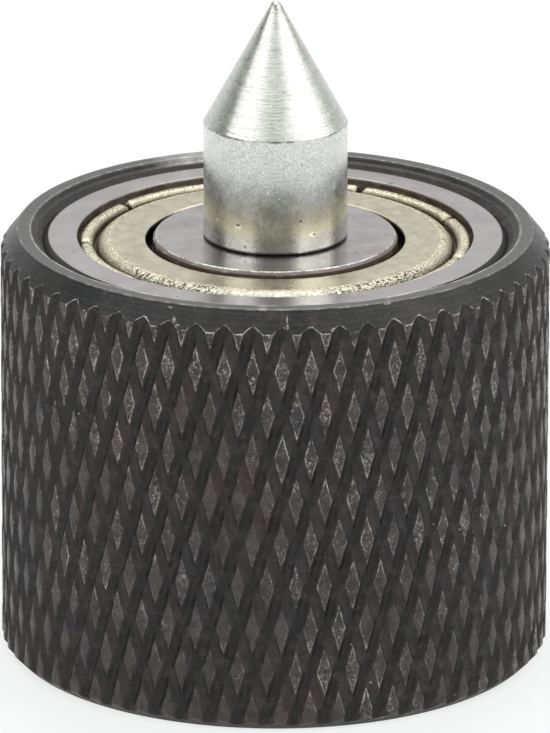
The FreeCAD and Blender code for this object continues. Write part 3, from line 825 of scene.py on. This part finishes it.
# ------------------------------------------------------------------ shields
def strip_outline(points, radii, t, n=7):
    """Both sides of a bent strip, as a top and a lower line of points."""
    P = [Vector(p) for p in points]
    line = [(P[0], (P[1] - P[0]).normalized())]
    for i in range(1, len(P) - 1):
        u = (P[i] - P[i - 1]).normalized()
        w = (P[i + 1] - P[i]).normalized()
        ang = u.angle(w)
        c = radii[i - 1] * math.tan(ang / 2)
        a, b = P[i] - u * c, P[i] + w * c
        side = 1 if u.x * w.y - u.y * w.x > 0 else -1
        cen = a + Vector((-u.y, u.x)) * side * radii[i - 1]
        a0 = math.atan2((a - cen).y, (a - cen).x)
        for k in range(n + 1):
            t_ = a0 + side * ang * k / n
            q = cen + Vector((math.cos(t_), math.sin(t_))) * radii[i - 1]
            tan = Vector((-math.sin(t_), math.cos(t_))) * side
            line.append((q, tan))
    line.append((P[-1], (P[-1] - P[-2]).normalized()))
    top = [q + Vector((-d.y, d.x)) * t / 2 for q, d in line]
    low = [q - Vector((-d.y, d.x)) * t / 2 for q, d in line]
    return top, low


def make_shield(name, z_face, up, material):
    t = 0.20
    top_z = ZC + hz
    flat_z, bead_z = top_z - 0.19 - t / 2, top_z - 0.24 - t / 2
    pts = [(6.13, flat_z), (8.22, flat_z), (8.41, top_z - 0.78), (8.64, top_z - 0.78), (8.72, bead_z),
           (9.14, bead_z), (9.26, top_z - 0.60), (9.58, top_z - 0.72)]
    top, low = strip_outline(pts, [0.58, 0.12, 0.12, 0.20, 0.20, 0.12], t, 10)
    # extra points along the broad flat, for its slight waviness
    flat_top = [Vector((6.22 + 1.6 * i / 9, flat_z + t / 2)) for i in range(0, 10)]
    flat_low = [Vector((6.22 + 1.6 * i / 9, flat_z - t / 2)) for i in range(0, 10)]
    lip_t = [Vector((6.13, flat_z + t / 2 - 0.085)), Vector((6.138, flat_z + t / 2 - 0.050)),
             Vector((6.156, flat_z + t / 2 - 0.022)), Vector((6.182, flat_z + t / 2 - 0.006))]
    lip_b = [Vector((6.13, flat_z - t / 2 + 0.03)), Vector((6.14, flat_z - t / 2 + 0.008)), Vector((6.16, flat_z - t / 2))]
    top = lip_t + [p for p in flat_top if p.x < top[1].x - 0.02] + top[1:]
    low = lip_b + [p for p in flat_low if p.x < low[1].x - 0.02] + low[1:]
    n_t = len(top)
    outline = top + list(reversed(low))
    # the slit reaches from just inside the bead out to the edge
    i_t = min(range(len(top)), key=lambda i: abs(top[i].x - 8.54) + (0 if i > n_t // 3 else 9))
    i_b = len(top) + (len(low) - 1 - min(range(len(low)), key=lambda i: abs(low[i].x - 8.60) + (0 if i > len(low) // 3 else 9)))
    slits = [math.radians((90 + 22.8 + 40 * i) % 360) for i in range(9)]
    w = 0.17 / 9.0
    near = [math.radians(0)] + [d / 9.0 for d in (0.05, 0.12, 0.21, 0.32)]

    def gap(a):
        return min(abs((a - s + math.pi) % TAU - math.pi) for s in slits)

    marks = [TAU * k / 256 for k in range(256)]
    keep = [a for a in marks if gap(a) > w + 0.36 / 9.0]
    keep += [(s + g * (w + d)) % TAU for s in slits for g in (-1, 1) for d in near[1:]]
    edges = [((s - w) % TAU, "s") for s in slits] + [((s + w) % TAU, "e") for s in slits]
    cols = sorted([(a, "") for a in keep] + edges)
    verts, grid = [], []
    for a, tag in cols:
        col = []
        for p in outline:
            x, y, z = polar(p.x, a, p.y)
            dz = 0.012 * n3(x, y, z, 0.35, 7.0) if p.x < 9.3 else 0.0
            g = max(0.0, gap(a) - w) * 9.0 / 0.30
            if g < 1 and 8.50 < p.x < 9.45:      # each tongue of the bead is rounded off at its ends
                side = min(1.0, (p.x - 8.50) / 0.15, (9.45 - p.x) / 0.15)
                dz -= 0.14 * side * (1 - math.sqrt(1 - (1 - g) ** 2))
            col.append(len(verts))
            zz = z + dz
            if not up:
                zz = 2 * ZC - zz
            verts.append((x, y, zz))
        grid.append(col)
    faces = []
    n, mm = len(cols), len(outline)
    for c in range(n):
        A, B = grid[c], grid[(c + 1) % n]
        in_slit = cols[c][1] == "s"
        for i in range(mm):
            i2 = (i + 1) % mm
            if in_slit and i_t <= i < i_b:
                continue
            faces.append((A[i], B[i], B[i2], A[i2]))
        if in_slit:
            faces.append((A[i_t], B[i_t], B[i_b], A[i_b]))
            faces.append(tuple(A[i_t:i_b + 1]))
            faces.append(tuple(reversed(B[i_t:i_b + 1])))
    return add_object(name, verts, faces, material, 40)


front = make_shield("front_shield_pressed", ZC + hz, True, M_SHIELD)
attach(front, "barrel_body")
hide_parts("front_shield")
rear = make_shield("rear_shield_pressed", ZC - hz, False, M_SHIELD)
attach(rear, "barrel_body")
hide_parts("rear_shield")

# ------------------------------------------------------------------ point
HEAD_R, CONE_Z, TIP_R = 3.40, 25.88, 0.29
ha = math.radians(28.75)
apex = CONE_Z + HEAD_R / math.tan(ha)
tip_c = apex - TIP_R / math.sin(ha)
head = [(0, 11.95, 0), (2.70, 11.95, 0.05), (3.0, 12.25, 0.05), (3.0, 12.53, 0.02), (2.5, 12.53, 0.03), (2.5, 13.29, 0.03),
        (3.0, 13.29, 0.02), (3.0, BRG_FACE, 0), (HEAD_R - 0.08, BRG_FACE, 0.02), (HEAD_R, BRG_FACE + 0.08, 0.04),
        (HEAD_R, CONE_Z, 0.14)]
pts = rounded(head + [(TIP_R * math.cos(ha), tip_c + TIP_R * math.sin(ha), 0)], 4)
for k in range(1, 7):
    a = ha + (math.pi / 2 - ha) * k / 6
    pts.append((max(0.0, TIP_R * math.cos(a)) if k < 6 else 0.0, tip_c + TIP_R * math.sin(a)))
# extra rings down the cone and the cylinder
more = []
for i, p in enumerate(pts):
    more.append(p)
    q = pts[(i + 1) % len(pts)]
    L = math.hypot(q[0] - p[0], q[1] - p[1])
    if i + 1 < len(pts) and L > 0.7 and p[0] > 1e-6 and q[0] > 1e-6:
        cnt = int(L / 0.5)
        more += [(p[0] + (q[0] - p[0]) * t / cnt, p[1] + (q[1] - p[1]) * t / cnt) for t in range(1, cnt)]
point = lathe("turned_point", more, 192, M_POINT)
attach(point, "spindle")
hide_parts("center_point")

# ------------------------------------------------------------------ CAD pieces that stay, with their own finish
for node, material in [("retaining_clip", M_CLIP), ("cage_upper_half", M_CAGE), ("cage_lower_half", M_CAGE),
                       ("cage_rivets", M_CAGE)] + [("ball_%d" % i, M_BALL) for i in range(1, 8)]:
    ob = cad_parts[node]
    if not ob.material_slots:
        ob.data.materials.append(material)
    for s in ob.material_slots:
        s.material = material

# ------------------------------------------------------------------ stage, light, camera
me = bpy.data.meshes.new("floor")
S = 3.0
me.from_pydata([(-S, -S, 0), (S, -S, 0), (S, S, 0), (-S, S, 0)], [], [(0, 1, 2, 3)])
me.materials.append(floor_paint())
floor = bpy.data.objects.new("floor", me)
bpy.context.scene.collection.objects.link(floor)

scene = bpy.context.scene
world = bpy.data.worlds.new("studio")
scene.world = world
world.use_nodes = True
wt = world.node_tree
bg = wt.nodes["Background"]
wc = wt.nodes.new("ShaderNodeTexCoord")
ws = wt.nodes.new("ShaderNodeSeparateXYZ")
wt.links.new(wc.outputs["Generated"], ws.inputs[0])
wa = wt.nodes.new("ShaderNodeMath")
wa.operation = "ABSOLUTE"
wt.links.new(ws.outputs[0], wa.inputs[0])
wr = wt.nodes.new("ShaderNodeMapRange")           # the studio is dark to the left and right, behind the softboxes
wr.interpolation_type = "SMOOTHSTEP"
wr.inputs["From Min"].default_value = 0.72
wr.inputs["From Max"].default_value = 0.94
wr.inputs["To Min"].default_value = 0.76
wr.inputs["To Max"].default_value = 0.16
wt.links.new(wa.outputs[0], wr.inputs["Value"])
wf = wt.nodes.new("ShaderNodeMapRange")           # and somewhat darker in front
wf.interpolation_type = "SMOOTHSTEP"
wf.inputs["From Min"].default_value = -0.55
wf.inputs["From Max"].default_value = -0.95
wf.inputs["To Min"].default_value = 1.0
wf.inputs["To Max"].default_value = 0.50
wt.links.new(ws.outputs[1], wf.inputs["Value"])
wm = wt.nodes.new("ShaderNodeMath")
wm.operation = "MULTIPLY"
wt.links.new(wr.outputs[0], wm.inputs[0])
wt.links.new(wf.outputs[0], wm.inputs[1])
wt.links.new(wm.outputs[0], bg.inputs[1])
bg.inputs[0].default_value = (0.98, 0.99, 1.0, 1)


def softbox(name, az, el, dist, w, h, power, color=(1, 1, 1)):
    """An area light aimed at the part; azimuth from the front towards +X, degrees; distance in metres."""
    a, e = math.radians(az), math.radians(el)
    d = Vector((math.sin(a) * math.cos(e), -math.cos(a) * math.cos(e), math.sin(e)))
    data = bpy.data.lights.new(name, "AREA")
    data.shape = "RECTANGLE"
    data.size, data.size_y = w, h
    data.energy = power
    data.color = color
    ob = bpy.data.objects.new(name, data)
    ob.location = Vector((0, 0, 0.015)) + d * dist
    ob.rotation_euler = d.to_track_quat("Z", "Y").to_euler()
    bpy.context.scene.collection.objects.link(ob)
    return ob


softbox("left_box", -61, 32, 0.45, 0.42, 0.30, 0.58)
softbox("right_box", 69, 31, 0.45, 0.56, 0.30, 1.02)
softbox("top_box", 0, 68, 0.60, 0.30, 0.24, 0.31)
softbox("back_box", 180, 60, 0.45, 0.34, 0.18, 0.95)

scene.view_settings.view_transform = "Standard"
scene.view_settings.look = "None"

K = 13.0 / 13.25
E = 0.330
ROLL = 0.003
DIST = 556.9 * K
AIM = (0.006 * K, 13.903 * K)
FOCAL = 11513.5
fwd = Vector((0, math.cos(E), -math.sin(E)))
right = Vector((1, 0, 0))
up = right.cross(fwd)
r2 = right * math.cos(ROLL) + up * math.sin(ROLL)
u2 = up * math.cos(ROLL) - right * math.sin(ROLL)
C = Vector((AIM[0], 0, AIM[1])) - fwd * DIST
cam_data = bpy.data.cameras.new("camera")
cam_data.lens = FOCAL * 36.0 / 733.0
cam_data.sensor_width = 36.0
cam_data.sensor_fit = "AUTO"
cam_data.clip_start = 0.01
cam_data.clip_end = 20.0
cam = bpy.data.objects.new("camera", cam_data)
m = Matrix((r2, u2, -fwd)).transposed().to_4x4()
m.translation = C * MM
cam.matrix_world = m
scene.collection.objects.link(cam)
scene.camera = cam
